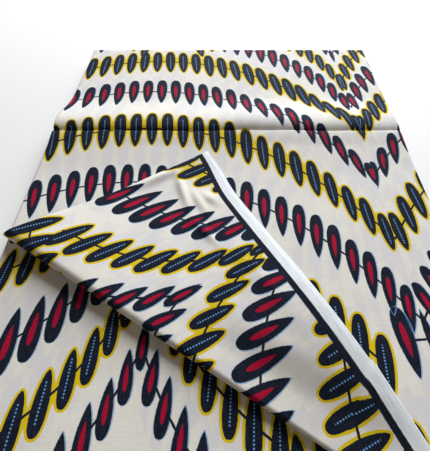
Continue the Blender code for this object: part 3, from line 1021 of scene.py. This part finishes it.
# The four sides of the hidden plies, counter-clockwise from the right one: the way out, folds for
# each pair of plies, how many folds they start on, and the folds' depth in heights of a pair. On
# the left and right each fold holds two pairs. On the far side each pair has its own fold, and on
# the near side each ply's selvedge stands alone.
PACK_SIDES = [
    ((1, 0), 0.5, 0.0, 1.3),
    ((0, 1), 1.0, 0.0, 1.1),
    ((-1, 0), 0.5, 0.5, 1.3),
    ((0, -1), 2.0, 0.0, 0.9),
]
NEAR_SIDE = 3
PACK_CORNER_RADIUS = 0.006
SIDE_POINTS = 150
CORNER_POINTS = 6
LEVELS_PER_PAIR = 10
FOLDS_WANDER = 0.0032
FOLDS_SWAY = 0.00035
SELVEDGES_SHIFT = 0.13
SELVEDGE_V = 0.004


def make_folded_plies(cloth):
    """The hidden plies as one closed form, with every ply's edge drawn in its sides.

    Rings of points go round the pack at many heights. Each fold bulges as half a circle, and its
    reach wanders by two sines along the ring, of phases that differ from fold to fold.
    """
    inset = 2 * (SOLID_WALL + SEAM_GAP)
    half_x = (PACK_WIDTH - SEAM_GAP - inset) / 2 - PACK_CORNER_RADIUS
    half_y = (PACK_DEPTH - SEAM_GAP - inset) / 2 - PACK_CORNER_RADIUS
    run = np.linspace(-1.0, 1.0, SIDE_POINTS)
    turn = np.linspace(0.0, 1.0, CORNER_POINTS + 2)[1:-1] * np.pi / 2
    centre, outward = [], []
    for (ox, oy), *_ in PACK_SIDES:
        out = np.array([ox, oy], float)
        ahead = np.array([-oy, ox], float)
        half_out, half_along = (half_x, half_y) if oy == 0 else (half_y, half_x)
        centre.append(out * half_out + ahead * half_along * run[:, None])
        outward.append(np.tile(out, (SIDE_POINTS, 1)))
        centre.append(np.tile(out * half_out + ahead * half_along, (CORNER_POINTS, 1)))
        outward.append(out * np.cos(turn)[:, None] + ahead * np.sin(turn)[:, None])
    centre = np.concatenate(centre) + (SEAM_GAP - inset) / 2
    outward = np.concatenate(outward)
    side = np.repeat(range(len(PACK_SIDES)), SIDE_POINTS + CORNER_POINTS)
    travel = np.cumsum(np.full(len(side), len(PACK_SIDES) / len(side)))
    level = np.linspace(0.0, 1.0, HIDDEN_PAIRS * LEVELS_PER_PAIR + 1)[:, None]

    pair_height = (STACK_HIGH - STACK_LOW) / HIDDEN_PAIRS
    folds_per_pair, first_fold, depth = np.array([row[1:] for row in PACK_SIDES])[side].T
    folds = level * HIDDEN_PAIRS * folds_per_pair + first_fold
    fold_number = np.floor(folds)
    part = folds - fold_number
    bulge = 1.0 - np.sqrt(np.maximum(1.0 - (2.0 * part - 1.0) ** 2, 0.0))
    phase = 2.1 * fold_number + 2.0 * np.sin(1.7 * fold_number)
    wander = 0.5 + 0.30 * np.sin(phase + 2.3 * travel) + 0.20 * np.sin(2.7 * phase + 7.1 * travel)
    reach = PACK_CORNER_RADIUS - pair_height * depth * bulge - FOLDS_WANDER * wander
    flat = centre + outward * reach[..., None]
    pull = left_edge(flat[..., 1]) - LEFT
    flat[..., 0] += pull * (0.5 - flat[..., 0] / PACK_WIDTH)
    sway = FOLDS_SWAY * np.sin(travel * 9.0 + 6.0 * level) * np.sin(np.pi * level)
    z = STACK_LOW + (STACK_HIGH - STACK_LOW) * level + sway
    grid = np.concatenate([flat, z[..., None]], axis=-1)

    index = np.arange(grid[..., 0].size).reshape(z.shape)
    after = np.roll(index, -1, axis=1)
    faces = np.stack([index[:-1], after[:-1], after[1:], index[1:]], axis=-1)
    # each fold shows another stretch of the cloth, and the near side only the bare selvedges
    near = side == NEAR_SIDE
    u = flat[..., 0] + np.where(near, SELVEDGES_SHIFT, PACK_WIDTH) * fold_number
    v = np.where(near, SELVEDGE_V, flat[..., 1] - NEAR)
    place = np.stack([u, v], axis=-1)
    piece = make_mesh("folded_plies", grid, faces, place)
    close_ends(piece, index[0][::-1], index[-1])
    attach(piece, "root")
    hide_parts("hidden_layers")


def close_ends(piece, *rings):
    """Fills the flat ends of a form with one face each."""
    shape = bmesh.new()
    shape.from_mesh(piece.data)
    shape.verts.ensure_lookup_table()
    for ring in rings:
        shape.faces.new([shape.verts[i] for i in ring]).smooth = False
    shape.to_mesh(piece.data)
    shape.free()


class ANKARA_OT_folded_plies(bpy.types.Operator):
    """Make the hidden plies with their folded edges"""

    bl_idname = "ankara.folded_plies"
    bl_label = "Folded plies"

    def execute(self, context):
        make_folded_plies(context.scene.ankara_cloth)
        return {"FINISHED"}


class ANKARA_OT_second_cloth(bpy.types.Operator):
    """Make the ply that shows under the turned corner"""

    bl_idname = "ankara.second_cloth"
    bl_label = "Second ply"

    def execute(self, context):
        make_second_cloth(context.scene.ankara_cloth)
        return {"FINISHED"}


class ANKARA_OT_top_cloth(bpy.types.Operator):
    """Make the top ply with its fold mark"""

    bl_idname = "ankara.top_cloth"
    bl_label = "Top ply"

    def execute(self, context):
        make_top_cloth(context.scene.ankara_cloth)
        return {"FINISHED"}


class ANKARA_OT_turned_corner(bpy.types.Operator):
    """Make the corner that is rolled over and turned back"""

    bl_idname = "ankara.turned_corner"
    bl_label = "Turned corner"

    def execute(self, context):
        make_turned_corner(context.scene.ankara_cloth)
        return {"FINISHED"}


def floor_material():
    """Matt white paint, rolled: an even pale surface with no gloss."""
    material = bpy.data.materials.new("White emulsion, rolled")
    material.use_nodes = True
    tree = material.node_tree
    surface = tree.nodes["Principled BSDF"]
    place = add_node(tree, "ShaderNodeTexCoord").outputs["Object"]
    settings = [("Vector", place), ("Scale", 240.0), ("Detail", 2.0)]
    grain = add_node(tree, "ShaderNodeTexNoise", settings).outputs["Fac"]
    settings = [("Height", grain), ("Strength", 0.05), ("Distance", 0.0004)]
    height = add_node(tree, "ShaderNodeBump", settings)
    tree.links.new(height.outputs[0], surface.inputs["Normal"])
    surface.inputs["Base Color"].default_value = (*linear("#F4F4F2"), 1.0)
    surface.inputs["Roughness"].default_value = 0.9
    return material


def add_light(name, place, towards, size, power, tint):
    """One square area light that points at a place."""
    light = bpy.data.lights.new(name, "AREA")
    light.size = size
    light.energy = power
    light.color = tint
    lamp = bpy.data.objects.new(name, light)
    bpy.context.scene.collection.objects.link(lamp)
    lamp.location = place
    x, y, z = np.array(place) - np.array(towards)
    lamp.rotation_euler = (math.atan2(math.hypot(x, y), z), 0.0, math.atan2(x, -y))


# The floor, and each light's place, size and colour. The window is beyond the far side.
FLOOR_HALF = 3.0
LIGHTS = [
    ("window", (0.55, 2.05, 1.12), 1.60, "#F5F9FF"),
    ("fill", (-0.5, -1.1, 0.9), 1.0, "#FFF1DE"),
]
ROOM_COLOUR = "#F8E6D2"

# The camera, a quarter of a metre above the cloth, looking 62 degrees down along +Y
CAMERA_X = LEFT + 0.2185
CAMERA_Y = NEAR + 0.1189
CAMERA_HEIGHT = 0.25
CAMERA_DOWN = 62.0
FOCAL_PIXELS = 267.0
FRAME_WIDTH = 430
FRAME_HEIGHT = 451
AXIS_X = 218.0
AXIS_Y = 228.0
SENSOR = 36.0


class ANKARA_OT_stage(bpy.types.Operator):
    """Make the floor, the lights and the camera"""

    bl_idname = "ankara.stage"
    bl_label = "Stage"

    def execute(self, context):
        light = context.scene.ankara_light
        floor_mesh = bpy.data.meshes.new("floor")
        signs = ((-1, -1), (1, -1), (1, 1), (-1, 1))
        corners = [(x * FLOOR_HALF, y * FLOOR_HALF, 0.0) for x, y in signs]
        floor_mesh.from_pydata(corners, [], [(0, 1, 2, 3)])
        floor_mesh.materials.append(floor_material())
        floor = bpy.data.objects.new("floor", floor_mesh)
        context.scene.collection.objects.link(floor)
        world = bpy.data.worlds.new("Room")
        world.use_nodes = True
        sky = world.node_tree.nodes["Background"]
        sky.inputs["Color"].default_value = (*linear(ROOM_COLOUR), 1.0)
        sky.inputs["Strength"].default_value = light.room
        context.scene.world = world
        for name, place, size, tint in LIGHTS:
            add_light(name, place, (0.0, 0.0, 0.0), size, getattr(light, name), linear(tint))
        camera = bpy.data.cameras.new("camera")
        camera.sensor_width = SENSOR
        camera.lens = FOCAL_PIXELS * SENSOR / FRAME_HEIGHT
        camera.shift_x = (FRAME_WIDTH / 2 - AXIS_X) / FRAME_HEIGHT
        camera.shift_y = (AXIS_Y - FRAME_HEIGHT / 2) / FRAME_HEIGHT
        camera.clip_start = 0.01
        eye = bpy.data.objects.new("camera", camera)
        context.scene.collection.objects.link(eye)
        eye.location = (CAMERA_X, CAMERA_Y, TOP_Z + CAMERA_HEIGHT)
        eye.rotation_euler = (math.radians(90.0 - CAMERA_DOWN), 0.0, 0.0)
        context.scene.camera = eye
        context.scene.view_settings.view_transform = "Standard"
        return {"FINISHED"}


class ANKARA_PT_panel(bpy.types.Panel):
    """Lists the cloth's settings and the steps that make it"""

    bl_label = "Folded ankara cloth"
    bl_idname = "ANKARA_PT_panel"
    bl_space_type = "VIEW_3D"
    bl_region_type = "UI"
    bl_category = "Ankara"

    def draw(self, context):
        layout = self.layout
        for group in SETTINGS:
            settings = getattr(context.scene, group)
            for name in settings.__annotations__:
                layout.prop(settings, name)
        for step in STEPS:
            layout.operator(step.bl_idname)


STEPS = (
    ANKARA_OT_folded_plies,
    ANKARA_OT_second_cloth,
    ANKARA_OT_top_cloth,
    ANKARA_OT_turned_corner,
    ANKARA_OT_stage,
)
SETTINGS = {
    "ankara_cloth": ClothSettings,
    "ankara_print": PrintSettings,
    "ankara_light": LightSettings,
}
CLASSES = (*SETTINGS.values(), *STEPS, ANKARA_PT_panel)


def register():
    for kind in CLASSES:
        bpy.utils.register_class(kind)
    for name, kind in SETTINGS.items():
        setattr(bpy.types.Scene, name, bpy.props.PointerProperty(type=kind))


def unregister():
    for name in SETTINGS:
        delattr(bpy.types.Scene, name)
    for kind in reversed(CLASSES):
        bpy.utils.unregister_class(kind)


def main():
    register()
    bpy.ops.ankara.folded_plies()
    bpy.ops.ankara.second_cloth()
    bpy.ops.ankara.top_cloth()
    bpy.ops.ankara.turned_corner()
    bpy.ops.ankara.stage()


if __name__ == "__main__":
    main()
